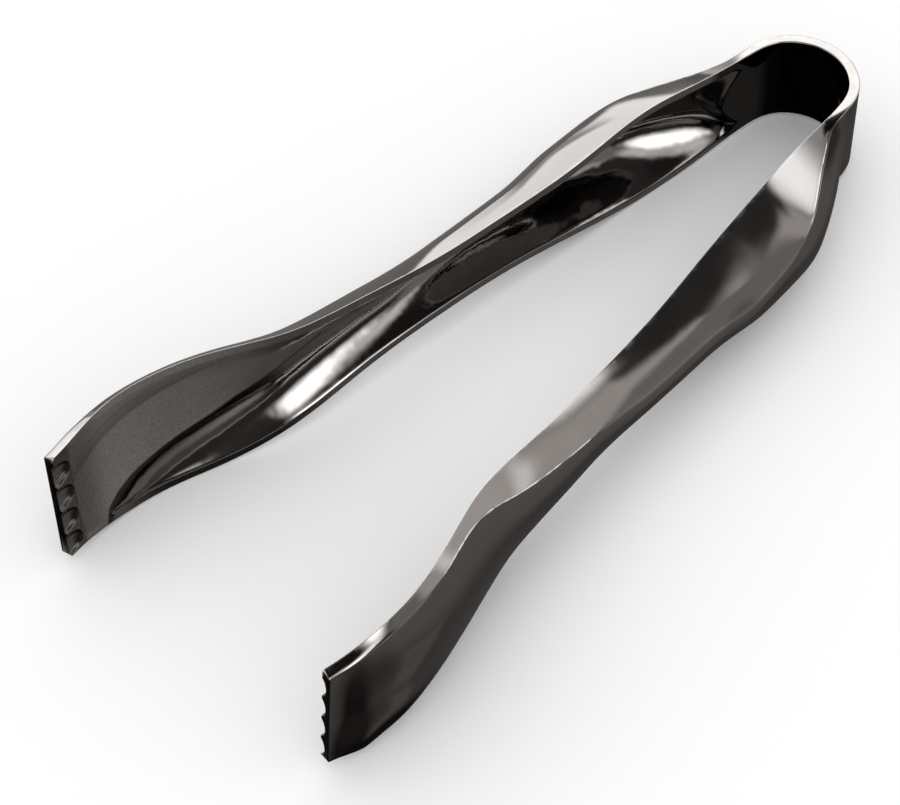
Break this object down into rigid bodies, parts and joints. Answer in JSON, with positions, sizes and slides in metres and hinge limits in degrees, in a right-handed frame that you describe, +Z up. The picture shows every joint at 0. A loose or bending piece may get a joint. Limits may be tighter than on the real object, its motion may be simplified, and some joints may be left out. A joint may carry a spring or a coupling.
{
  "type": "ice tongs",
  "caption": "Small sprung ice tongs: one moulded strip with a flat bow, hollow bulged grips, slim shanks and scooped jaws with scalloped biting ends.",
  "frame": {"origin": "on the rest plane, under the middle of the length, between the two arms", "axes": "+X from the jaws to the bow, +Y from the front arm to the back arm, +Z up from the plane the tongs lie on"},
  "size_m": [0.1602, 0.0694, 0.0271],
  "materials": {
    "chromed_body": "vacuum-metallised smoky mirror chrome over moulded plastic",
    "chromed_jaw": "vacuum-metallised smoky chrome over a finely textured moulding, satin inside"
  },
  "bodies": {
    "bow": {"bow_crown": "chromed_body"},
    "arm_front": {"bow_shoulder_front": "chromed_body", "grip_front": "chromed_body", "shank_front": "chromed_body", "jaw_front": "chromed_jaw"},
    "arm_back": {"bow_shoulder_back": "chromed_body", "grip_back": "chromed_body", "shank_back": "chromed_body", "jaw_back": "chromed_jaw"}
  },
  "joints": [
    {"name": "flex_front", "type": "hinge", "parent": "bow", "child": "arm_front", "pos_m": [0.07442, -0.00855, 0.00939], "axis": [-0.0308, 0, -0.9995], "range_deg": [-3, 10.3], "stiffness_Nm_per_rad": 2.1},
    {"name": "flex_back", "type": "hinge", "parent": "bow", "child": "arm_back", "pos_m": [0.07442, 0.00855, 0.00939], "axis": [0.0308, 0, 0.9995], "range_deg": [-3, 10.3], "stiffness_Nm_per_rad": 2.1}
  ]
}
